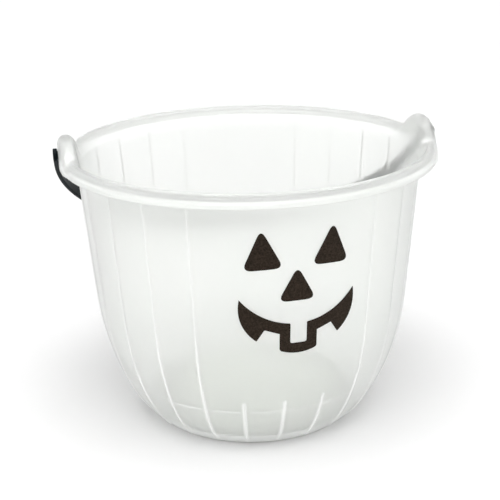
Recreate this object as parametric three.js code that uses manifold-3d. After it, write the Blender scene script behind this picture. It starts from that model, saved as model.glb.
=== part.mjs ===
import * as THREE from "three";
import { mergeVertices } from "three/addons/utils/BufferGeometryUtils.js";
import Module from "manifold-3d";

// A translucent trick-or-treat bucket with a swinging strap handle.
// Millimetres, +Z up. The origin is on the floor under the bucket's axis, the ears lie on the X axis,
// and the front, with the face, looks along -Y.

const wasm = await Module();
wasm.setup();

// Wall, bowl and base
const wallThickness = 1.5;
const baseRadius = 60.3;
const baseFlareAngle = THREE.MathUtils.degToRad(37.4);
const baseFlarePull = 24.3;
const bowlHeight = 72;
const bowlTopPull = 23.2;
const wallDraft = 0.0745;
const floorThickness = 1.8;
const footRecess = 1.2;
const footWidth = 5;
const floorFillet = 3;
const ledgeHeight = 30;
const ledgeStep = 0.4;
const bowlCrowding = 1.5;

// Rim
const rimRadius = 105.8;
const rimTop = 158;
const rimOverhang = 9.2;
const skirtHeight = 6.7;
const skirtThickness = 1.4;
const crownInset = 5.2;
const crownBead = 1;
const crownThickness = 3.4;
const channelTaper = 1;
const lowerBead = 1.6;
const skirtEdge = 1.5;
const shoulderBead = 1.9;
const shoulderInset = 4;
const shoulderRise = 3.6;
const valleyInset = 1.15;
const valleyDepth = 1.35;
const flareHollow = 0.2;
const lowerBeadArc = [0, 80];
const shoulderArc = [8, 82];
const crownOuterArc = [15, 90];
const crownInnerArc = [130, 180];
const flareHollowSpan = [0.1, 0.35, 0.65];

// Ears and their stud holes
const earRise = 9.8;
const earRadius = 24;
const earFillet = 5;
const earFaceOffset = 0.4;
const earRound = 4.6;
const earRootInset = 1;
const earBlend = 8;
const earFaceShare = 0.55;
const earTopShare = 0.35;
const studDrop = 10.8;
const studRadius = 2.4;
const studClearance = 0.35;

// Ribs on the outside of the wall
const ribCount = 24;
const ribWidth = 2;
const ribHeight = 0.7;
const ribRoot = 0.6;
const ribFoot = 1.6;
const ribHeadGap = 1.6;
const ribEndRun = 1.5;
const ribTurn = THREE.MathUtils.degToRad(2);
const shortRibTop = 37;
const smoothPanelHalfAngle = THREE.MathUtils.degToRad(20);

// Strap handle
const strapWidth = 7.5;
const strapThickness = 2.3;
const strapEndLength = 4;
const strapStraight = 6;
const strapGap = 0.4;
const wallRestGap = 0.6;
const hangAngle = THREE.MathUtils.degToRad(38.5);
const studHeadRadius = 3.6;
const studHeadLength = 2;
const studTipRadius = 2.2;

// Face film
const filmThickness = 0.3;
const filmGap = 0.3;
const filmCorner = 1.3;
const eyeCorner = 2.2;
const faceTurn = THREE.MathUtils.degToRad(4.9);
const eyeSpacing = 35.6;
const eyeWidth = 19.6;
const eyeHeight = 21.6;
const eyeBase = 116.9;
const eyeTilt = THREE.MathUtils.degToRad(3);
const noseWidth = 18;
const noseHeight = 18;
const noseBase = 99.6;

// Mouth film: one half, measured out from its own middle and down from the lowest point of the upper lip
const mouthOffset = 0.8;
const mouthHeight = 86.2;
const mouthHalfWidth = 30.2;
const mouthTipRise = 15.2;
const cheekBulge = 2.4;
const fangOut = 21.7;
const fangDrop = 8.8;
const notchOut = 17.7;
const notchDrop = 2.4;
const toothHalfWidth = 9.9;
const lipThickness = 5.2;
const toothDrop = 15;
const toothDip = 2;
const gapHalfWidth = 4.4;
const gapDrop = 11.2;

// Facets
const turnSteps = 96;
const bowlSteps = 7;
const arcSteps = 2;
const holeSteps = 24;
const strapSteps = 40;
const filmCurveSteps = 9;
const cornerSteps = 3;
const halvings = 40;

const plastic = new THREE.MeshStandardMaterial({ color: 0xe9eeea, roughness: 0.35, metalness: 0 });
const blackPlastic = new THREE.MeshStandardMaterial({ color: 0x141414, roughness: 0.45, metalness: 0 });
const blackFilm = new THREE.MeshStandardMaterial({ color: 0x2a221e, roughness: 0.6, metalness: 0 });

const skirtBottom = rimTop - skirtHeight;
const crownRadius = rimRadius - crownInset;
const bowlTopRadius = rimRadius - rimOverhang - wallDraft * (skirtBottom - bowlHeight);
const pivotHeight = rimTop + earRise - studDrop;
const earFaceRadius = rimRadius + earFaceOffset;
const floorTop = footRecess + floorThickness;

function toSolid(geometry) {
  const plain = geometry.clone();
  plain.deleteAttribute("normal");
  plain.deleteAttribute("uv");
  const merged = mergeVertices(plain, 1e-4);
  const corners = merged.index.array;
  const kept = [];
  for (let i = 0; i < corners.length; i += 3) {
    const [a, b, c] = corners.slice(i, i + 3);
    if (a !== b && b !== c && c !== a) kept.push(a, b, c);
  }
  return new wasm.Manifold(new wasm.Mesh({
    numProp: 3,
    vertProperties: Float32Array.from(merged.attributes.position.array),
    triVerts: Uint32Array.from(kept),
  }));
}

function toMesh(name, solid, material) {
  const result = solid.getMesh();
  const geometry = new THREE.BufferGeometry();
  geometry.setAttribute("position", new THREE.BufferAttribute(result.vertProperties, 3));
  geometry.setIndex(new THREE.BufferAttribute(result.triVerts, 1));
  geometry.computeVertexNormals();
  const mesh = new THREE.Mesh(geometry, material);
  mesh.name = name;
  return mesh;
}

function point(radius, height) {
  return new THREE.Vector2(radius, height);
}

function arc(centre, radius, [fromDegrees, toDegrees], steps = arcSteps) {
  const points = [];
  for (let i = 0; i <= steps; i += 1) {
    const turn = THREE.MathUtils.degToRad(THREE.MathUtils.lerp(fromDegrees, toDegrees, i / steps));
    points.push(point(centre.x + radius * Math.cos(turn), centre.y + radius * Math.sin(turn)));
  }
  return points;
}

// The outer wall: a bowl that flares up from the base, then a drafted wall that leaves it smoothly.
const bowlCurve = new THREE.CubicBezierCurve(
  point(baseRadius, 0),
  point(
    baseRadius + baseFlarePull * Math.cos(baseFlareAngle),
    baseFlarePull * Math.sin(baseFlareAngle),
  ),
  point(bowlTopRadius - bowlTopPull * wallDraft, bowlHeight - bowlTopPull),
  point(bowlTopRadius, bowlHeight),
);

function wallRadius(height) {
  if (height >= bowlHeight) return bowlTopRadius + (height - bowlHeight) * wallDraft;
  let low = 0;
  let high = 1;
  for (let halving = 0; halving < halvings; halving += 1) {
    const middle = (low + high) / 2;
    if (bowlCurve.getPoint(middle).y < height) low = middle;
    else high = middle;
  }
  return bowlCurve.getPoint(low).x;
}

// A point beside the outer wall, moved square to it: outward for a positive offset, into the wall otherwise.
function wallPoint(height, offset) {
  const probe = 0.05;
  const low = Math.max(height - probe, 0);
  const rise = height + probe - low;
  const outward = point(rise, wallRadius(low) - wallRadius(height + probe)).normalize();
  return point(wallRadius(height), height).addScaledVector(outward, offset);
}

// Heights along the wall, closer together where the bowl curves most.
function wallHeights(from, to, steps = bowlSteps) {
  const heights = [];
  for (let i = 0; i <= steps; i += 1) {
    const height = bowlHeight * (i / steps) ** bowlCrowding;
    if (height > from + floorThickness && height < to - floorThickness) heights.push(height);
  }
  return [from, ...heights, to];
}

// Distance along the rim from an angle about the bucket to the middle of the nearer ear.
function fromEar(angle) {
  return Math.asin(Math.min(1, Math.abs(Math.cos(angle)))) * crownRadius;
}

// Half the length of an ear. Seen from the side it is a round dome with a fillet down to the rim.
function earFoot() {
  const centres = earRadius + earFillet;
  return Math.sqrt(centres ** 2 - (centres - earRise) ** 2);
}

// How high the rim is drawn up at an angle: nothing along the rim, all of the rise at the top of an ear.
function earLift(angle) {
  const [along, foot] = [fromEar(angle), earFoot()];
  if (along >= foot) return 0;
  if (along * (earRadius + earFillet) < foot * earRadius) {
    return earRise - earRadius + Math.sqrt(earRadius ** 2 - along ** 2);
  }
  return earFillet - Math.sqrt(earFillet ** 2 - (foot - along) ** 2);
}

// How far the rim's beads have smoothed into an ear's plain section: 0 along the rim, 1 in the ear.
function earFade(angle) {
  return 1 - THREE.MathUtils.smoothstep(fromEar(angle), earFoot(), earFoot() + earBlend);
}

// A point of an ear's plain section, which has an upright outer face, a round top and an inner face that runs
// into the wall. Out of an ear's whole outside or inside, share is how far along it the point lies.
function earOutside(share, lift) {
  const springing = point(earFaceRadius - earRound, rimTop + lift - earRound);
  if (share < earFaceShare) {
    return point(earFaceRadius, THREE.MathUtils.lerp(skirtBottom, springing.y, share / earFaceShare));
  }
  const turn = ((share - earFaceShare) / (1 - earFaceShare)) * (Math.PI / 2);
  return springing.add(point(earRound * Math.cos(turn), earRound * Math.sin(turn)));
}

function earInside(share, lift, wallEdge) {
  const springing = point(earFaceRadius - earRound, rimTop + lift - earRound);
  if (share > earTopShare) {
    const down = (share - earTopShare) / (1 - earTopShare);
    return springing.sub(point(earRound, 0)).lerp(wallEdge, down);
  }
  const turn = (1 + share / earTopShare) * (Math.PI / 2);
  return springing.add(point(earRound * Math.cos(turn), earRound * Math.sin(turn)));
}

// The closed section of the bucket. Each row has its place along the rim and its place in a lifted ear.
function bucketSection() {
  const skirtInside = rimRadius - skirtThickness;
  const ceiling = rimTop - crownThickness;
  const wallTop = skirtBottom - ribHeadGap;
  const wallEdge = wallPoint(wallTop, -wallThickness);
  const crown = point(crownRadius, rimTop - crownBead);
  const fixed = (places) => places.map((place) => [place, () => place]);

  const underneath = [
    point(0, footRecess),
    point(baseRadius - footWidth - footRecess, footRecess),
    point(baseRadius - footWidth, 0),
    ...wallHeights(0, wallTop).map((height) => wallPoint(height, 0)),
  ];

  // The open channel between the wall and the skirt.
  const channelRoot = crownRadius - crownBead;
  const channel = [
    [point(channelRoot, ceiling), (lift) => point(channelRoot - earRootInset, ceiling + lift)],
    [point(skirtInside - channelTaper, ceiling - channelTaper),
      (lift) => point(skirtInside + earFaceOffset - channelTaper, ceiling - channelTaper + lift)],
    [point(skirtInside, skirtBottom), () => point(skirtInside + earFaceOffset, skirtBottom)],
  ];

  // Up the outside: lower bead, shoulder, valley and half of the crown bead.
  const outside = [
    point(rimRadius, skirtBottom),
    ...arc(point(rimRadius - lowerBead, skirtBottom + skirtEdge), lowerBead, lowerBeadArc),
    ...arc(point(rimRadius - shoulderInset, skirtBottom + shoulderRise), shoulderBead, shoulderArc),
    point(crownRadius + valleyInset, rimTop - valleyDepth),
    ...arc(crown, crownBead, crownOuterArc),
  ].map((place, i, all) => [place, (lift) => earOutside(i / (all.length - 1), lift)]);

  // Down the inside: the rest of the crown bead, then a flare into the wall.
  const flare = new THREE.LineCurve(point(crownRadius - crownBead, crown.y), wallEdge);
  const inside = [
    ...arc(crown, crownBead, crownInnerArc, 1),
    ...flareHollowSpan.map((share) => flare.getPoint(share).add(point(flareHollow, 0))),
  ].map((place, i, all) => [place, (lift) => earInside((i + 1) / (all.length + 1), lift, wallEdge)]);

  const thickened = -wallThickness - ledgeStep;
  const floorEdge = wallPoint(floorTop, thickened);
  const within = [
    ...wallHeights(ledgeHeight, wallTop).reverse().map((height) => wallPoint(height, -wallThickness)),
    ...wallHeights(floorTop, ledgeHeight - ledgeStep).reverse().map((height) => wallPoint(height, thickened)),
    point(floorEdge.x - floorFillet, floorTop),
    point(0, floorTop),
  ];
  return [...fixed(underneath), ...channel, ...outside, ...inside, ...fixed(within)];
}

// Revolved section, with the rim drawn up into the two ears where they stand.
function bucketShell() {
  const section = bucketSection();
  const lathe = new THREE.LatheGeometry(section.map(([rim]) => rim), turnSteps);
  const place = lathe.attributes.position;
  for (let i = 0; i < place.count; i += 1) {
    const [rim, ear] = section[i % section.length];
    const angle = (2 * Math.PI * Math.floor(i / section.length)) / turnSteps;
    const turned = rim.clone().lerp(ear(earLift(angle)), earFade(angle));
    place.setXYZ(i, turned.x * Math.sin(angle), turned.y, turned.x * Math.cos(angle));
  }
  lathe.rotateX(Math.PI / 2);
  return toSolid(lathe);
}

function rib(angle, top) {
  const heights = wallHeights(ribFoot, top);
  const crest = heights.map((height) => wallPoint(height, ribHeight));
  const root = [...heights, top + ribEndRun].map((height) => wallPoint(height, -ribRoot));
  const outline = new THREE.Shape([...crest, ...root.reverse()]);
  const geometry = new THREE.ExtrudeGeometry(outline, { depth: ribWidth, bevelEnabled: false });
  geometry.translate(0, 0, -ribWidth / 2);
  geometry.rotateX(Math.PI / 2);
  geometry.rotateZ(angle - Math.PI / 2);
  return toSolid(geometry);
}

// Full ribs run up to the rim. The front and back panels have short ribs, and are smooth above them. The
// pattern sits a little round from the ears.
function ribs() {
  const solids = [];
  for (let i = 0; i < ribCount; i += 1) {
    const angle = (2 * Math.PI * i) / ribCount;
    const fromPanel = Math.asin(Math.abs(Math.sin(angle)));
    const top = fromPanel < smoothPanelHalfAngle ? shortRibTop : skirtBottom - 2 * ribHeadGap;
    solids.push(rib(angle + ribTurn, top));
  }
  return solids;
}

// A turned piece on the X axis through the ears, from a profile of radius and distance along X.
function turnedOnPivot(profile, side) {
  const geometry = new THREE.LatheGeometry(profile, holeSteps);
  geometry.rotateZ(-Math.PI / 2);
  if (side < 0) geometry.rotateZ(Math.PI);
  geometry.translate(0, 0, pivotHeight);
  return toSolid(geometry);
}

function pailBody() {
  const bore = studRadius + studClearance;
  const cut = [point(0, crownRadius + studRadius / 2), point(bore, crownRadius + studRadius / 2)];
  cut.push(point(bore, earFaceRadius + studRadius), point(0, earFaceRadius + studRadius));
  let body = bucketShell();
  ribs().forEach((solid) => {
    body = body.add(solid);
  });
  [-1, 1].forEach((side) => {
    body = body.subtract(turnedOnPivot(cut, side));
  });
  return toMesh("pail_body", body, plastic);
}

// Distance from the pivot to the strap's middle, so that its lower edge rests beside the wall when it hangs.
function strapReach() {
  const [down, across] = [Math.sin(hangAngle), Math.cos(hangAngle)];
  const [halfThick, halfWide] = [strapThickness / 2, strapWidth / 2];
  const edgeRise = pivotHeight + halfThick * down - halfWide * across - bowlHeight;
  const wallAtPivot = bowlTopRadius + wallDraft * edgeRise;
  return (wallAtPivot + wallRestGap + halfThick * across + halfWide * down) / (across + wallDraft * down);
}

function bailHandle() {
  const halfSpan = earFaceRadius + strapGap + strapThickness / 2;
  const depth = strapReach() - strapStraight;
  const middle = [];
  for (let i = 0; i <= strapSteps; i += 1) {
    const turn = (Math.PI * i) / strapSteps;
    middle.push(point(-halfSpan * Math.cos(turn), strapStraight + depth * Math.sin(turn)));
  }
  const ends = strapWidth / 2 - strapEndLength;
  middle.unshift(point(-halfSpan, ends));
  middle.push(point(halfSpan, ends));
  const side = (offset) => middle.map((here, i) => {
    const before = middle[Math.max(i - 1, 0)];
    const after = middle[Math.min(i + 1, middle.length - 1)];
    const along = after.clone().sub(before).normalize();
    return point(here.x + offset * along.y, here.y - offset * along.x);
  });
  const outline = new THREE.Shape([...side(-strapThickness / 2), ...side(strapThickness / 2).reverse()]);
  const band = new THREE.ExtrudeGeometry(outline, { depth: strapWidth, bevelEnabled: false });
  band.translate(0, 0, -strapWidth / 2);
  let strap = toSolid(band);
  const inner = halfSpan - strapThickness / 2;
  const headFace = earFaceRadius - skirtThickness - channelTaper;
  [-1, 1].forEach((hand) => {
    const end = new THREE.CylinderGeometry(strapWidth / 2, strapWidth / 2, strapThickness, holeSteps);
    end.rotateZ(Math.PI / 2);
    end.translate(hand * halfSpan, ends, 0);
    const stud = new THREE.LatheGeometry([
      point(0, headFace - studHeadLength),
      point(studTipRadius, headFace - studHeadLength),
      point(studHeadRadius, headFace),
      point(studRadius, headFace),
      point(studRadius, inner + strapThickness / 2),
      point(0, inner + strapThickness / 2),
    ], holeSteps);
    stud.rotateZ((-hand * Math.PI) / 2);
    strap = strap.add(toSolid(end)).add(toSolid(stud));
  });
  const mesh = toMesh("bail_handle", strap, blackPlastic);
  mesh.rotation.x = -hangAngle;
  mesh.position.z = pivotHeight;
  return mesh;
}

// A thin skin of film that follows the wall, from which the pieces of the face are cut.
function filmSkin() {
  const heights = wallHeights(mouthHeight - toothDrop - 2 * toothDip, skirtBottom);
  const innerSide = heights.map((height) => wallPoint(height, filmGap));
  const outerSide = heights.map((height) => wallPoint(height, filmGap + filmThickness));
  const ring = [...outerSide, ...innerSide.reverse()];
  const lathe = new THREE.LatheGeometry([...ring, ring[0]], turnSteps);
  lathe.rotateX(Math.PI / 2);
  return toSolid(lathe);
}

// Outline through corners in the front view. A corner with a radius is rounded, any other is a plain point.
function roundedOutline(corners) {
  const shape = new THREE.Shape();
  corners.forEach(([x, height, radius = 0], i) => {
    const here = point(x, height);
    const [beforeX, beforeHeight] = corners[(i + corners.length - 1) % corners.length];
    const [afterX, afterHeight] = corners[(i + 1) % corners.length];
    const into = point(beforeX, beforeHeight).sub(here).setLength(radius).add(here);
    const away = point(afterX, afterHeight).sub(here).setLength(radius).add(here);
    if (i === 0) shape.moveTo(into.x, into.y);
    else shape.lineTo(into.x, into.y);
    if (radius > 0) shape.quadraticCurveTo(here.x, here.y, away.x, away.y);
  });
  shape.closePath();
  return shape;
}

function triangle(width, height, base, middle, tilt) {
  const corners = [[-width / 2, 0], [width / 2, 0], [0, height]];
  return corners.map(([x, z]) => {
    const turned = point(x, z - height / 3).rotateAround(point(0, 0), tilt);
    return [turned.x + middle, turned.y + base + height / 3, eyeCorner];
  });
}

// Half of the grin, from the gap over the tooth, out along the upper lip, round the cheek to the fang,
// and back along the lower lip to the tooth's bottom edge.
function halfMouth() {
  const lipRadius = (mouthHalfWidth ** 2 + mouthTipRise ** 2) / (2 * mouthTipRise);
  const lip = (x) => mouthHeight + lipRadius - Math.sqrt(lipRadius ** 2 - x ** 2);
  const corners = [[gapHalfWidth, mouthHeight - gapDrop, filmCorner]];
  for (let i = 0; i < filmCurveSteps; i += 1) {
    const x = THREE.MathUtils.lerp(gapHalfWidth, mouthHalfWidth, i / filmCurveSteps);
    corners.push([x, lip(x), i === 0 ? filmCorner / 2 : 0]);
  }
  const cheek = new THREE.QuadraticBezierCurve(
    point(mouthHalfWidth, mouthHeight + mouthTipRise),
    point(mouthHalfWidth + cheekBulge, mouthHeight),
    point(fangOut, mouthHeight - fangDrop),
  );
  cheek.getPoints(filmCurveSteps).forEach((place, i) => {
    corners.push([place.x, place.y, i === filmCurveSteps ? filmCorner / 2 : 0]);
  });
  corners.push([notchOut, mouthHeight - notchDrop, filmCorner / 2]);
  corners.push([toothHalfWidth, mouthHeight - lipThickness]);
  corners.push([toothHalfWidth, mouthHeight - toothDrop, filmCorner]);
  corners.push([toothHalfWidth / 2, mouthHeight - toothDrop - toothDip * (1 - 1 / 4)]);
  return corners;
}

function mouthOutline() {
  const right = halfMouth();
  const left = right.map(([x, z, radius]) => [-x, z, radius]).reverse();
  const all = [...right, [0, mouthHeight - toothDrop - toothDip], ...left];
  return all.map(([x, z, radius]) => [x + mouthOffset, z, radius]);
}

function filmPiece(name, corners, skin) {
  const reach = 2 * rimRadius;
  const punch = new THREE.ExtrudeGeometry(roundedOutline(corners), {
    depth: reach,
    bevelEnabled: false,
    curveSegments: cornerSteps,
  });
  punch.rotateX(Math.PI / 2);
  punch.rotateZ(faceTurn);
  return toMesh(name, skin.intersect(toSolid(punch)), blackFilm);
}

function face() {
  const skin = filmSkin();
  const eye = (side) => triangle(eyeWidth, eyeHeight, eyeBase, (side * eyeSpacing) / 2, -side * eyeTilt);
  return [
    filmPiece("eye_left", eye(-1), skin),
    filmPiece("eye_right", eye(1), skin),
    filmPiece("nose", triangle(noseWidth, noseHeight, noseBase, 0, 0), skin),
    filmPiece("mouth", mouthOutline(), skin),
  ];
}

const group = new THREE.Group();
group.add(pailBody(), bailHandle(), ...face());

export default group;
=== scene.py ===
import math

import bmesh
import bpy
import numpy as np
from mathutils import Matrix, Vector
from mathutils.geometry import interpolate_bezier


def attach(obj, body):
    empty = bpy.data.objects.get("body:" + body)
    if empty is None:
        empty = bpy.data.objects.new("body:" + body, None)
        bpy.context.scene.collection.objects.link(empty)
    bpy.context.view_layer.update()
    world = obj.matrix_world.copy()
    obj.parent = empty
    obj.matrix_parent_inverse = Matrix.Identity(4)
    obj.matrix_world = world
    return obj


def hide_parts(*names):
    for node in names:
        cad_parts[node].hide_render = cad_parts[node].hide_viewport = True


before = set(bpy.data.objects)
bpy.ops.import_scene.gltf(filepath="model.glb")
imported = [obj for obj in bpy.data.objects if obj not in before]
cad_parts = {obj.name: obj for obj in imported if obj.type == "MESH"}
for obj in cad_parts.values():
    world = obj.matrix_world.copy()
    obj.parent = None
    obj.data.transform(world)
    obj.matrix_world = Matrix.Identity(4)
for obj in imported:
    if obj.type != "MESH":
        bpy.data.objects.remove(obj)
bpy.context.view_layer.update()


# The bucket. It is one thin injection moulding in cloudy clear plastic: a flared bowl and wall with
# raised ribs outside, a beaded rim whose skirt hangs clear of the wall, and two ears drawn up from the
# rim. Each ear's face has a hole that a stud of the handle snaps into.
MM = 0.001

BASE_RADIUS = 62.2
FOOT_ROUND = 6
BOWL_HEIGHT = 72
BOWL_TOP_RADIUS = 90.69
BOWL_BASE_PULL = Vector((17.4, 14.76))
BOWL_TOP_PULL = 23.2
WALL_DRAFT = 0.0745
WALL_THICKNESS = 1.5
WALL_TOP = 149.7
FOOT_RECESS = 1.2
FOOT_INSIDE = 55.3
FLOOR_TOP = 3
FLOOR_FILLET = 3
FLOOR_FILLET_MIDDLE = Vector((-0.8, 0.3))
LEDGE_HEIGHT = 30
LEDGE_STEP = 0.4
LEDGE_BAND = (29.4, 30.4)

RIM_RADIUS = 105.8
RIM_TOP = 158
SKIRT_BOTTOM = 151.3
SKIRT_INSIDE = 104.4
SKIRT_ROUND = 0.35
CHANNEL_ROOT = 99.6
CHANNEL_TOP = 154.6
CHANNEL_ROOT_BEVEL = Vector((0.6, 0.3))
CHANNEL_CORNER_TOP = Vector((-1.4, -0.2))
CHANNEL_CORNER_SIDE = Vector((-0.9, -1))
LOWER_BEAD = 1.6
LOWER_BEAD_HEIGHT = 152.8
SHOULDER_BEAD = 1.9
SHOULDER_RADIUS = 101.8
SHOULDER_HEIGHT = 154.9
CROWN_RADIUS = 100.6
CROWN_BEAD = 1

EAR_RISE = 9.8
EAR_RADIUS = 24
EAR_FILLET = 5
EAR_FACE = RIM_RADIUS + 0.4
EAR_ROUND = 4.6
EAR_ROOT_INSET = 1
EAR_BLEND = 8
PIVOT_HEIGHT = 157
STUD_HOLE_RADIUS = 2.75
STUD_HOLE_SPAN = (101.8, 108.6)

RIB_COUNT = 24
RIB_SECTOR = 2 * math.pi / RIB_COUNT
RIB_HALF_WIDTH = 1.35
RIB_HEIGHT = 0.45
RIB_FOOT = 1.2
RIB_TOP = 148
RIB_RUN_OUT = 1.2
SHORT_RIB_TOP = 37
SHORT_RIB_SECTORS = (0, 1, RIB_COUNT - 1, 11, 12)
RIB_STEPS = 4
RIB_TURN = math.radians(2)
SECTOR_STEPS = 16
COLUMNS = RIB_COUNT * SECTOR_STEPS


def flat(radius, height):
    """A point of a section, in millimetres from the axis and up from the ground."""
    return Vector((radius, height))


BOWL_STEPS = 400
SLOPE_PROBE = 0.25
bowl_line = interpolate_bezier(
    flat(BASE_RADIUS, 0),
    flat(BASE_RADIUS, 0) + BOWL_BASE_PULL,
    flat(BOWL_TOP_RADIUS - BOWL_TOP_PULL * WALL_DRAFT, BOWL_HEIGHT - BOWL_TOP_PULL),
    flat(BOWL_TOP_RADIUS, BOWL_HEIGHT),
    BOWL_STEPS,
)
bowl_line.append(flat(BOWL_TOP_RADIUS + (RIM_TOP - BOWL_HEIGHT) * WALL_DRAFT, RIM_TOP))
bowl_radii = [place.x for place in bowl_line]
bowl_heights = [place.y for place in bowl_line]


def wall_point(height, offset=0.0):
    """A point of the wall's section, moved square to the wall: outward for a positive offset."""
    lower, upper = max(height - SLOPE_PROBE, 0), height + SLOPE_PROBE
    radius, below, above = np.interp((height, lower, upper), bowl_heights, bowl_radii)
    outward = flat(upper - lower, below - above).normalized()
    return flat(radius, height) + outward * offset


def arc(centre, radius, start, end, steps):
    """Points of an arc between two angles in degrees."""
    turns = np.radians(np.linspace(start, end, steps + 1))
    return [centre + radius * flat(math.cos(turn), math.sin(turn)) for turn in turns]


def ear_outside(share, lift):
    """A point of an ear's outside: an upright face, then a quarter round up to the top."""
    springing = flat(EAR_FACE - EAR_ROUND, RIM_TOP + lift - EAR_ROUND)
    face = springing.y - SKIRT_BOTTOM
    run = share * (face + EAR_ROUND * math.pi / 2)
    if run < face:
        return flat(EAR_FACE, SKIRT_BOTTOM + run)
    turn = (run - face) / EAR_ROUND
    return springing + EAR_ROUND * flat(math.cos(turn), math.sin(turn))


def ear_inside(share, lift):
    """A point of an ear's inside: a quarter round down from the top, then a face that runs into the wall."""
    springing = flat(EAR_FACE - EAR_ROUND, RIM_TOP + lift - EAR_ROUND)
    inside, foot = springing - flat(EAR_ROUND, 0), wall_point(WALL_TOP, -WALL_THICKNESS)
    quarter = EAR_ROUND * math.pi / 2
    run = share * (quarter + (foot - inside).length)
    if run > quarter:
        return inside.lerp(foot, (run - quarter) / (foot - inside).length)
    turn = math.pi / 2 + run / EAR_ROUND
    return springing + EAR_ROUND * flat(math.cos(turn), math.sin(turn))


def drawn_up(places, ear):
    """Gives each point of a stretch of the rim the ear's own line and its share of the way along it."""
    runs = [0.0]
    for before, after in zip(places, places[1:]):
        runs.append(runs[-1] + (after - before).length)
    return [(place, ear, run / runs[-1]) for place, run in zip(places, runs)]


bead_line = [flat(RIM_RADIUS, SKIRT_BOTTOM + SKIRT_ROUND)]
bead_line += arc(flat(RIM_RADIUS - LOWER_BEAD, LOWER_BEAD_HEIGHT), LOWER_BEAD, 0, 80, 6)
bead_line += arc(flat(SHOULDER_RADIUS, SHOULDER_HEIGHT), SHOULDER_BEAD, 8, 82, 6)
crown_centre = flat(CROWN_RADIUS, RIM_TOP - CROWN_BEAD)
bead_line += arc(crown_centre, CROWN_BEAD, 10, 90, 5)
flare_top = flat(CROWN_RADIUS - CROWN_BEAD, RIM_TOP - CROWN_BEAD)
flare_foot = wall_point(WALL_TOP, -WALL_THICKNESS)
flare_line = arc(crown_centre, CROWN_BEAD, 90, 180, 5)
flare_line += [flare_top.lerp(flare_foot, step / 8) for step in range(1, 8)]
flare_line += [flare_foot]

# The rows of the outer wall lie close together at the foot, at the ledge and where a rib ends.
outer_heights = [1.7, 2.3, 2.9, 3.6, 5, *range(7, 29, 2), *LEDGE_BAND, 32, 34]
outer_heights += [35.4, 36.2, 36.8, 37.4, 38, *range(40, 72, 2)]
outer_heights += [*range(72, 144, 4), 144, 146, 147, 147.6, 148.2, 148.8]
inner_heights = [*range(144, 72, -6), *range(72, 32, -4), LEDGE_HEIGHT + LEDGE_STEP]

foot_angle = math.degrees(math.atan2(BOWL_BASE_PULL.y, BOWL_BASE_PULL.x))
foot_centre = flat(BASE_RADIUS - FOOT_ROUND * math.tan(math.radians(foot_angle / 2)), FOOT_ROUND)
underside = [flat(FOOT_INSIDE - FOOT_RECESS, FOOT_RECESS), flat(FOOT_INSIDE, 0)]
underside += arc(foot_centre, FOOT_ROUND, -90, foot_angle - 90, 5)
channel_root, channel_corner = flat(CHANNEL_ROOT, CHANNEL_TOP), flat(SKIRT_INSIDE, CHANNEL_TOP)
ear_inward, ear_outward = flat(-EAR_ROOT_INSET, 0), flat(EAR_FACE - RIM_RADIUS, 0)
gutter = [
    (wall_point(WALL_TOP), flat(0, 0), 0),
    (channel_root, ear_inward, 1),
    (channel_root + CHANNEL_ROOT_BEVEL, ear_inward, 1),
    (channel_corner + CHANNEL_CORNER_TOP, ear_outward, 1),
    (channel_corner + CHANNEL_CORNER_SIDE, ear_outward, 1),
    (flat(SKIRT_INSIDE, SKIRT_BOTTOM + SKIRT_ROUND), ear_outward, 0),
    (flat(SKIRT_INSIDE + SKIRT_ROUND, SKIRT_BOTTOM), ear_outward, 0),
    (flat(RIM_RADIUS - SKIRT_ROUND, SKIRT_BOTTOM), ear_outward, 0),
]
inner_wall = [wall_point(height, -WALL_THICKNESS) for height in inner_heights]
inner_wall += [
    wall_point(height, -WALL_THICKNESS - LEDGE_STEP)
    for height in (LEDGE_HEIGHT, 27, 24, 21, 18, 15, 12, 9, 6, 4.2)
]
floor_edge_on_floor = flat(wall_point(FLOOR_TOP, -WALL_THICKNESS - LEDGE_STEP).x, FLOOR_TOP)
inner_wall += [floor_edge_on_floor + FLOOR_FILLET_MIDDLE, floor_edge_on_floor - flat(FLOOR_FILLET, 0)]


def ear_shape(angle):
    """How far an ear has taken over from the rim at an angle from the front, and how high it lifts there."""
    along = math.asin(min(1, abs(math.cos(angle)))) * CROWN_RADIUS
    centres = EAR_RADIUS + EAR_FILLET
    foot = math.sqrt(centres ** 2 - (centres - EAR_RISE) ** 2)
    if along * centres < foot * EAR_RADIUS:
        lift = EAR_RISE - EAR_RADIUS + math.sqrt(EAR_RADIUS ** 2 - along ** 2)
    else:
        lift = EAR_FILLET - math.sqrt(EAR_FILLET ** 2 - max(foot - along, 0) ** 2)
    beyond = min(max((along - foot) / EAR_BLEND, 0), 1)
    return 1 - beyond ** 2 * (3 - 2 * beyond), lift


def rib_lift(sector, step, height):
    """How far the outer wall stands out at a step beside the middle of a sector's rib."""
    top = SHORT_RIB_TOP if sector % RIB_COUNT in SHORT_RIB_SECTORS else RIB_TOP
    crest = (1 + math.cos(math.pi * min(abs(step), RIB_STEPS) / RIB_STEPS)) / 2
    ends = min((height - RIB_FOOT) / RIB_RUN_OUT, (top + RIB_RUN_OUT / 2 - height) / RIB_RUN_OUT, 1)
    return RIB_HEIGHT * crest * max(ends, 0)


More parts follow.
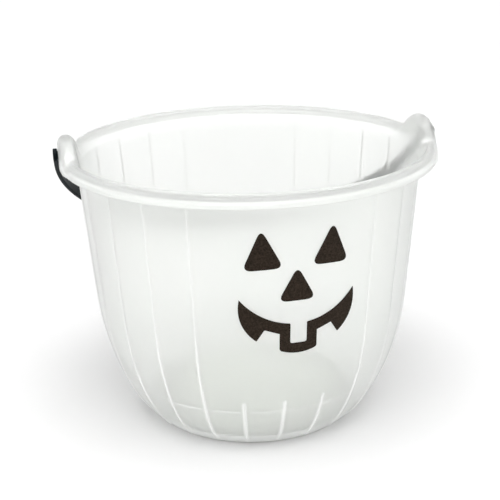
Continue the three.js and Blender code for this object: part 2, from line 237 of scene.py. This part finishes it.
def bucket_vertex(row, column):
    """The place of one column of a row. A row is a height on the ribbed outer wall, a plain point, a point
    with how an ear moves it and whether it lifts it, or a rim point with the ear's line and its share."""
    sector, step = divmod(column + SECTOR_STEPS // 2, SECTOR_STEPS)
    step -= SECTOR_STEPS // 2
    rim = row[0] if isinstance(row, tuple) else row
    if isinstance(row, (int, float)):
        rim = wall_point(row, rib_lift(sector, step, row))
    foot = RIB_HALF_WIDTH / max(rim.x, FOOT_INSIDE)
    aside = foot * abs(step) / RIB_STEPS
    if abs(step) > RIB_STEPS:
        plain = (abs(step) - RIB_STEPS) / (SECTOR_STEPS / 2 - RIB_STEPS)
        aside = foot + (RIB_SECTOR / 2 - foot) * plain
    angle = RIB_TURN + RIB_SECTOR * sector + math.copysign(aside, step)
    fade, lift = ear_shape(angle)
    place = rim
    if isinstance(row, tuple) and fade > 0:
        _, ear, share = row
        place = rim.lerp(ear(share, lift) if callable(ear) else rim + ear + flat(0, lift * share), fade)
    return Vector((place.x * math.sin(angle), -place.x * math.cos(angle), place.y)) * MM


bucket_rows = [*underside, *outer_heights, *gutter]
bucket_rows += [*drawn_up(bead_line, ear_outside), *drawn_up(flare_line, ear_inside)[1:], *inner_wall]


def loft(name, rings):
    """A closed skin: a filled circle primitive moved to the first ring, and extruded from ring to ring."""
    bpy.ops.object.select_all(action="DESELECT")
    bpy.ops.mesh.primitive_circle_add(vertices=len(rings[0]), radius=1, fill_type="NGON")
    piece = bpy.context.object
    piece.name = piece.data.name = name
    for vertex, place in zip(piece.data.vertices, rings[0]):
        vertex.co = place
    bpy.ops.object.mode_set(mode="EDIT")
    bpy.ops.mesh.select_all(action="SELECT")
    for before, after in zip(rings, rings[1:]):
        moves = {tuple(old): new for old, new in zip(before, after)}
        bpy.ops.mesh.extrude_region()
        edit = bmesh.from_edit_mesh(piece.data)
        for vertex in edit.verts:
            if vertex.select:
                vertex.co = moves[tuple(vertex.co)]
    bmesh.update_edit_mesh(piece.data)
    bpy.ops.mesh.select_all(action="SELECT")
    bpy.ops.mesh.normals_make_consistent(inside=False)
    bpy.ops.object.mode_set(mode="OBJECT")
    return piece


def shape_with(piece, tool, operation):
    """Joins, cuts or trims the piece with another piece, which is used up unless the piece is trimmed."""
    modifier = piece.modifiers.new("shape", "BOOLEAN")
    modifier.operation = operation
    modifier.object = tool
    bpy.context.view_layer.objects.active = piece
    bpy.ops.object.modifier_apply(modifier=modifier.name)
    if operation != "INTERSECT":
        bpy.data.objects.remove(tool)


def turned_on_pivot(name, profile, side, steps=32):
    """A turned piece on the X axis through the ears, from its distances along X and radii."""
    turns = [2 * math.pi * i / steps for i in range(steps)]
    return loft(name, [
        [
            Vector((side * along, radius * math.cos(turn), PIVOT_HEIGHT + radius * math.sin(turn))) * MM
            for turn in turns
        ]
        for along, radius in profile
    ])


def smooth(piece, degrees):
    """Shades a piece smooth, but for the edges that turn more than so many degrees."""
    bpy.ops.object.select_all(action="DESELECT")
    bpy.context.view_layer.objects.active = piece
    piece.select_set(True)
    bpy.ops.object.shade_smooth_by_angle(angle=math.radians(degrees))


bucket = loft("bucket_shell", [
    [bucket_vertex(row, column) for column in range(COLUMNS)]
    for row in bucket_rows
])
for side in (-1, 1):
    hole = turned_on_pivot("stud_hole", [(along, STUD_HOLE_RADIUS) for along in STUD_HOLE_SPAN], side)
    shape_with(bucket, hole, "DIFFERENCE")
smooth(bucket, 32)


def grain_group():
    """Fine grain and soft clouding of a surface, as masks from 0 to 1."""
    group = bpy.data.node_groups.new("surface_grain", "ShaderNodeTree")
    for name, value in (("Grain Scale", 1500), ("Cloud Scale", 40)):
        group.interface.new_socket(name, in_out="INPUT", socket_type="NodeSocketFloat").default_value = value
    for name in ("Grain", "Cloud"):
        group.interface.new_socket(name, in_out="OUTPUT", socket_type="NodeSocketFloat")
    nodes, links = group.nodes, group.links
    entry, leave = nodes.new("NodeGroupInput"), nodes.new("NodeGroupOutput")
    place = nodes.new("ShaderNodeTexCoord")
    for name, detail in (("Grain", 3), ("Cloud", 2)):
        noise = nodes.new("ShaderNodeTexNoise")
        noise.inputs["Detail"].default_value = detail
        links.new(place.outputs["Object"], noise.inputs["Vector"])
        links.new(entry.outputs[f"{name} Scale"], noise.inputs["Scale"])
        links.new(noise.outputs["Fac"], leave.inputs[name])
    return group


surface_grain = grain_group()


def moulded_material(name, dark, light, roughness, grain_scale, cloud_scale, relief, settings):
    """A Principled material whose colour clouds between two tones, and whose gloss and relief follow the
    grain. The settings are constants for the shader's own inputs, by name."""
    material = bpy.data.materials.new(name)
    material.use_nodes = True
    nodes, links = material.node_tree.nodes, material.node_tree.links
    shader = nodes["Principled BSDF"]
    grain = nodes.new("ShaderNodeGroup")
    grain.node_tree = surface_grain
    grain.inputs["Grain Scale"].default_value = grain_scale
    grain.inputs["Cloud Scale"].default_value = cloud_scale
    tone = nodes.new("ShaderNodeValToRGB")
    tone.color_ramp.elements[0].position = 0.3
    tone.color_ramp.elements[1].position = 0.7
    tone.color_ramp.elements[0].color = (*dark, 1)
    tone.color_ramp.elements[1].color = (*light, 1)
    gloss = nodes.new("ShaderNodeMapRange")
    gloss.inputs["To Min"].default_value, gloss.inputs["To Max"].default_value = roughness
    bump = nodes.new("ShaderNodeBump")
    bump.inputs["Strength"].default_value = 1
    bump.inputs["Distance"].default_value = relief
    links.new(grain.outputs["Cloud"], tone.inputs["Fac"])
    links.new(tone.outputs["Color"], shader.inputs["Base Color"])
    links.new(grain.outputs["Grain"], gloss.inputs["Value"])
    links.new(gloss.outputs["Result"], shader.inputs["Roughness"])
    links.new(grain.outputs["Grain"], bump.inputs["Height"])
    links.new(bump.outputs["Normal"], shader.inputs["Normal"])
    for setting, value in settings.items():
        shader.inputs[setting].default_value = value
    return material


# The plastic looks whiter where it is thick: over the ledge inside and along the crests of the ribs, which
# are picked out more narrowly towards the top. Round the foot and low on the bowl it is thicker too, and is
# also made whiter and less clear there as painted light, to brighten what the lighting leaves dark. The
# floor inside is painted shade: darker, to stand in for the shadowed ground seen through it.
PLASTICS = {
    "clear_plastic": ((0.975, 0.988, 0.97), (0.988, 0.994, 0.982), 0.79),
    "rib_plastic": ((0.93, 0.94, 0.925), (0.95, 0.955, 0.945), 0.3),
    # Painted light: the foot band is whiter and nearly opaque, partly for its thicker plastic, partly to
    # stand in for light that brightens the foot.
    "foot_plastic_and_painted_light": ((0.93, 0.94, 0.925), (0.95, 0.955, 0.945), 0.04),
    # Painted light: the low band of the bowl is whiter and less clear, partly for its thicker plastic,
    # partly to brighten what the lighting leaves dark.
    "low_plastic_and_painted_light": ((0.95, 0.96, 0.945), (0.97, 0.975, 0.965), 0.45),
    "ledge_plastic": ((0.95, 0.96, 0.945), (0.97, 0.975, 0.965), 0.4),
    # Painted shade: the floor inside is darker, standing in for the shadowed ground seen through it.
    "floor_painted_shade": ((0.86, 0.88, 0.84), (0.89, 0.91, 0.87), 0.79),
}
PLASTIC_ROUGHNESS = (0.28, 0.32)
PLASTIC_IOR = 1.25
OUTSIDE_DEPTH = 1.2
FOOT_BAND_TOP = 3
LOW_BAND = (0.8, 10)
FLOOR_BAND_TOP = 4.5
BAND_MARGIN = 0.1
CREST_HEIGHTS = (40, 80)
CREST_SHARES = (0.1, 0.6)

for name, (dark, light, transmission) in PLASTICS.items():
    bucket.data.materials.append(moulded_material(
        name, dark, light, PLASTIC_ROUGHNESS, grain_scale=900, cloud_scale=22, relief=0.000006,
        settings={"Transmission Weight": transmission, "IOR": PLASTIC_IOR},
    ))
places = np.array([vertex.co for vertex in bucket.data.vertices]) / MM
heights = places[:, 2]
proud = np.hypot(places[:, 0], places[:, 1]) - np.interp(heights, bowl_heights, bowl_radii)
outside = proud > -OUTSIDE_DEPTH
crest = proud > RIB_HEIGHT * np.interp(heights, CREST_HEIGHTS, CREST_SHARES)
over_ledge = (heights > LEDGE_BAND[0] - BAND_MARGIN) & (heights < LEDGE_BAND[1] + BAND_MARGIN)
# The masks below include the painted light at the foot and low on the bowl, and the painted shade on the
# floor inside.
parts = {
    "foot_plastic_and_painted_light": outside & (heights < FOOT_BAND_TOP),
    "low_plastic_and_painted_light": outside & (heights > LOW_BAND[0]) & (heights < LOW_BAND[1]),
    "ledge_plastic": outside & over_ledge,
    "rib_plastic": crest & (heights < RIB_TOP + RIB_HEIGHT),
    "floor_painted_shade": ~outside & (heights < FLOOR_BAND_TOP),
}
slot_numbers = {name: number for number, name in enumerate(PLASTICS)}
for polygon in bucket.data.polygons:
    for name, part in parts.items():
        if part[polygon.vertices].all():
            polygon.material_index = slot_numbers[name]
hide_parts("pail_body")
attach(bucket, "pail")


# The handle. It is one flat strap in satin black plastic, bent to a half hoop when it is snapped on.
# Each rounded end carries a turned stud whose snap head sits behind the ear's face. It hangs behind the
# bucket, beside the back wall.
STRAP_WIDTH = 7.5
STRAP_THICKNESS = 2.3
STRAP_ROUND = 0.45
STRAP_HALF_SPAN = 107.75
STRAP_END = 4
STRAP_TIP_INSET = 0.04
STRAP_TIP_STEPS = 12
STRAP_STRAIGHT = 6
STRAP_REACH = 121.47
HOOP_STEPS = 80
HANG_ANGLE = math.radians(38.5)
STUD_PROFILE = ((101.8, 1.8), (102.1, 2.2), (103.5, 3.6), (103.8, 3.6), (103.9, 2.4), (107.6, 2.4))

# Half of the strap's middle line as it lies flat, from the rounded end to the top of the hoop.
strap_line = []
for i in range(STRAP_TIP_STEPS + 1):
    rounding = (STRAP_WIDTH / 2) * (1 - math.cos(math.pi * i / (2 * STRAP_TIP_STEPS)))
    strap_line.append(flat(-STRAP_HALF_SPAN, -STRAP_END + STRAP_TIP_INSET + rounding))
strap_line += [flat(-STRAP_HALF_SPAN, 0), flat(-STRAP_HALF_SPAN, STRAP_STRAIGHT / 2)]
for i in range(HOOP_STEPS + 1):
    turn = math.pi * i / (2 * HOOP_STEPS)
    strap_line.append(flat(
        -STRAP_HALF_SPAN * math.cos(turn),
        STRAP_STRAIGHT + (STRAP_REACH - STRAP_STRAIGHT) * math.sin(turn),
    ))
strap_line += [flat(-place.x, place.y) for place in reversed(strap_line[:-1])]


def strap_section(width):
    """The strap's rounded section, corner by corner, at a width."""
    half_thick, half_wide = STRAP_THICKNESS / 2, max(width / 2, STRAP_ROUND)
    places = []
    for corner, (across, wide) in enumerate(((1, 1), (-1, 1), (-1, -1), (1, -1))):
        middle = flat(across * (half_thick - STRAP_ROUND), wide * (half_wide - STRAP_ROUND))
        places += arc(middle, STRAP_ROUND, 90 * corner, 90 * corner + 90, 3)
    return places


hung = Matrix.Translation((0, 0, PIVOT_HEIGHT)) @ Matrix.Rotation(-HANG_ANGLE, 4, "X")
rings = []
for i, here in enumerate(strap_line):
    along = (strap_line[min(i + 1, len(strap_line) - 1)] - strap_line[max(i - 1, 0)]).normalized()
    beyond = max(STRAP_WIDTH / 2 - STRAP_END - here.y, 0) / (STRAP_WIDTH / 2)
    rings.append([
        hung @ Vector((here.x + along.y * place.x, here.y - along.x * place.x, place.y)) * MM
        for place in strap_section(STRAP_WIDTH * math.sqrt(1 - min(beyond, 1) ** 2))
    ])
handle = loft("strap_handle", rings)
for side in (-1, 1):
    shape_with(handle, turned_on_pivot("stud", STUD_PROFILE, side), "UNION")
smooth(handle, 35)
handle.data.materials.append(moulded_material(
    "black_plastic", (0.002, 0.0045, 0.006), (0.003, 0.006, 0.008), (0.38, 0.52),
    grain_scale=1400, cloud_scale=60, relief=0.00002, settings={"Specular IOR Level": 0.08},
))
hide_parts("bail_handle")
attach(handle, "bail")


# The face. It is four pieces of thin dark film, stuck flat on the smooth front panel: two eyes and a nose
# with rounded corners, and a grin with two fangs and a stepped tooth.
FILM_GAP = 0.06
FILM_THICKNESS = 0.24
FILM_CORNER = 1.3
FILM_CURVE_STEPS = 18
PUNCH_FROM_TO = (-110, -70)
PANEL_HEIGHTS = [68 + 1.5 * step for step in range(50)]
PANEL_SIDE = math.radians(115)
PANEL_SPAN = math.radians(50)
PANEL_STEPS = 100
EYE_CORNER = 5
FACE_TURN = math.radians(4.9)
EYE_SIZE = (20.6, 22)
EYE_BASE = 116.5
EYE_OUT = 17.8
EYE_TILT = math.radians(3)
NOSE_SIZE = (20, 18.9)
NOSE_BASE = 98.4
MOUTH_OUT = 1.1
LIP_HEIGHT = 85.4
MOUTH_HALF_WIDTH = 30.2
MOUTH_TIP_RISE = 14.9
CHEEK_BULGE = 2.4
FANG = flat(21.7, -8.8)
NOTCH = flat(17.7, -2.4)
TOOTH_SIDE = 9.9
LIP_THICKNESS = 5.2
TOOTH_DROP = 15
TOOTH_DIP = 2
GAP_SIDE = 4.4
GAP_DROP = 11.2


def rounded_outline(corners, steps=6):
    """An outline through corners of x, height and how far before and after each the rounding starts."""
    places = []
    for i, (x, height, size) in enumerate(corners):
        here = flat(x, height)
        if size == 0:
            places.append(here)
            continue
        before, after = (flat(*corners[(i + way) % len(corners)][:2]) for way in (-1, 1))
        into, away = (here + (other - here).normalized() * size for other in (before, after))
        for step in range(steps + 1):
            share = step / steps
            places.append(into.lerp(here, share).lerp(here.lerp(away, share), share))
    return places


def triangle(size, base, middle, tilt):
    """The corners of an eye or the nose, tilted about a third of its height."""
    width, height = size
    turn = Matrix.Rotation(tilt, 2)
    corners = []
    for x, z in ((-width / 2, 0), (width / 2, 0), (0, height)):
        place = turn @ flat(x, z - height / 3) + flat(middle, base + height / 3)
        corners.append((*place, EYE_CORNER))
    return corners


def grin():
    """The corners of the mouth: half of it runs from the gap over the tooth, along the upper lip, round the
    cheek to the fang and back along the lower lip to the tooth's bottom edge, and the rest mirrors that."""
    lip_radius = (MOUTH_HALF_WIDTH ** 2 + MOUTH_TIP_RISE ** 2) / (2 * MOUTH_TIP_RISE)
    half = [(GAP_SIDE, -GAP_DROP, FILM_CORNER)]
    for i in range(FILM_CURVE_STEPS):
        x = GAP_SIDE + (MOUTH_HALF_WIDTH - GAP_SIDE) * i / FILM_CURVE_STEPS
        half.append((x, lip_radius - math.sqrt(lip_radius ** 2 - x ** 2), 0 if i else FILM_CORNER / 2))
    tip = flat(MOUTH_HALF_WIDTH, MOUTH_TIP_RISE)
    cheek = flat(MOUTH_HALF_WIDTH + CHEEK_BULGE, 0)
    for i in range(FILM_CURVE_STEPS + 1):
        share = i / FILM_CURVE_STEPS
        place = tip.lerp(cheek, share).lerp(cheek.lerp(FANG, share), share)
        half.append((*place, 0 if i < FILM_CURVE_STEPS else FILM_CORNER / 2))
    half.append((*NOTCH, FILM_CORNER / 2))
    half.append((TOOTH_SIDE, -LIP_THICKNESS, 0))
    half.append((TOOTH_SIDE, -TOOTH_DROP, FILM_CORNER))
    for share in (0.75, 0.5, 0.25):
        half.append((TOOTH_SIDE * share, -TOOTH_DROP - TOOTH_DIP * (1 - share ** 2), 0))
    whole = half + [(0, -TOOTH_DROP - TOOTH_DIP, 0)] + [(-x, z, size) for x, z, size in reversed(half)]
    return [(x + MOUTH_OUT, z + LIP_HEIGHT, size) for x, z, size in whole]


def film_skin():
    """A thin skin over the front panel, spun from its section."""
    around = [wall_point(height, FILM_GAP + FILM_THICKNESS) for height in PANEL_HEIGHTS]
    around += [wall_point(height, FILM_GAP) for height in reversed(PANEL_HEIGHTS)]
    bpy.ops.object.select_all(action="DESELECT")
    bpy.ops.mesh.primitive_circle_add(vertices=len(around), radius=1, fill_type="NGON")
    skin = bpy.context.object
    for vertex, place in zip(skin.data.vertices, around):
        vertex.co = Vector((place.x * math.cos(-PANEL_SIDE), place.x * math.sin(-PANEL_SIDE), place.y)) * MM
    bpy.ops.object.mode_set(mode="EDIT")
    bpy.ops.mesh.select_all(action="SELECT")
    bpy.ops.mesh.spin(steps=PANEL_STEPS, angle=-PANEL_SPAN, center=(0, 0, 0), axis=(0, 0, 1))
    bpy.ops.mesh.select_all(action="SELECT")
    bpy.ops.mesh.normals_make_consistent(inside=False)
    bpy.ops.object.mode_set(mode="OBJECT")
    return skin


black_film = moulded_material(
    "black_film", (0.011, 0.0075, 0.0048), (0.034, 0.0235, 0.016), (0.5, 0.75),
    grain_scale=1300, cloud_scale=1100, relief=0.00004, settings={"Specular IOR Level": 0.08},
)
skin = film_skin()
turn = Matrix.Rotation(FACE_TURN, 3, "Z")
for name, corners in (
    ("eye_left_film", triangle(EYE_SIZE, EYE_BASE, -EYE_OUT, EYE_TILT)),
    ("eye_right_film", triangle(EYE_SIZE, EYE_BASE, EYE_OUT, -EYE_TILT)),
    ("nose_film", triangle(NOSE_SIZE, NOSE_BASE, 0, 0)),
    ("mouth_film", grin()),
):
    film = loft(name, [
        [turn @ Vector((place.x, depth, place.y)) * MM for place in rounded_outline(corners)]
        for depth in PUNCH_FROM_TO
    ])
    shape_with(film, skin, "INTERSECT")
    smooth(film, 30)
    film.data.materials.append(black_film)
    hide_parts(name.removesuffix("_film"))
    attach(film, "pail")
bpy.data.objects.remove(skin)


# The setting. It is a plain pale floor in a white room. One wide soft light falls from above, a little from
# the front, a second fills the front from low down, and two low ones light the sides.
FLOOR_TONE = 0.74
ROOM_STRENGTH = 0.3
VIEW_TURN = -8
LIGHTS = (
    ("front_light", 2.7, 45, 10, 0),
    ("fill_light", 1.5, 110, 80, 0),
    ("left_light", 1.2, 50, 80, -80),
    ("right_light", 1.2, 50, 80, 80),
)
CAMERA_PLACE = (-0.0866, -0.5313, 0.2915)
CAMERA_TURN = -9.21
CAMERA_DIP = 20.28
CAMERA_ROLL = -1.31

bpy.ops.object.select_all(action="DESELECT")
bpy.ops.mesh.primitive_plane_add(size=16)
floor = bpy.context.object
floor.name = "floor"
floor_white = bpy.data.materials.new("floor_white")
floor_white.use_nodes = True
floor_shader = floor_white.node_tree.nodes["Principled BSDF"]
floor_shader.inputs["Base Color"].default_value = (FLOOR_TONE, FLOOR_TONE, FLOOR_TONE, 1)
floor_shader.inputs["Roughness"].default_value = 0.8
floor.data.materials.append(floor_white)

room = bpy.data.worlds.new("room")
room.use_nodes = True
room.node_tree.nodes["Background"].inputs["Color"].default_value = (1, 1, 1, 1)
room.node_tree.nodes["Background"].inputs["Strength"].default_value = ROOM_STRENGTH
bpy.context.scene.world = room

# Each light has its strength, and in degrees its spread, its tilt from overhead and its turn from the view.
for name, energy, spread, tilt, aside in LIGHTS:
    light = bpy.data.lights.new(name, "SUN")
    light.energy = energy
    light.angle = math.radians(spread)
    light_object = bpy.data.objects.new(name, light)
    light_object.rotation_euler = (math.radians(tilt), 0, math.radians(VIEW_TURN + aside))
    bpy.context.collection.objects.link(light_object)

camera = bpy.data.cameras.new("camera")
camera.lens = 70.07
camera.sensor_width = 36
camera.clip_start = 0.01
camera_object = bpy.data.objects.new("camera", camera)
camera_object.matrix_world = Matrix.Translation(CAMERA_PLACE) @ (
    Matrix.Rotation(math.radians(CAMERA_TURN), 4, "Z")
    @ Matrix.Rotation(math.radians(90 - CAMERA_DIP), 4, "X")
    @ Matrix.Rotation(math.radians(CAMERA_ROLL), 4, "Z")
)
bpy.context.collection.objects.link(camera_object)
bpy.context.scene.camera = camera_object
bpy.context.scene.view_settings.view_transform = "Standard"

bpy.context.view_layer.update()
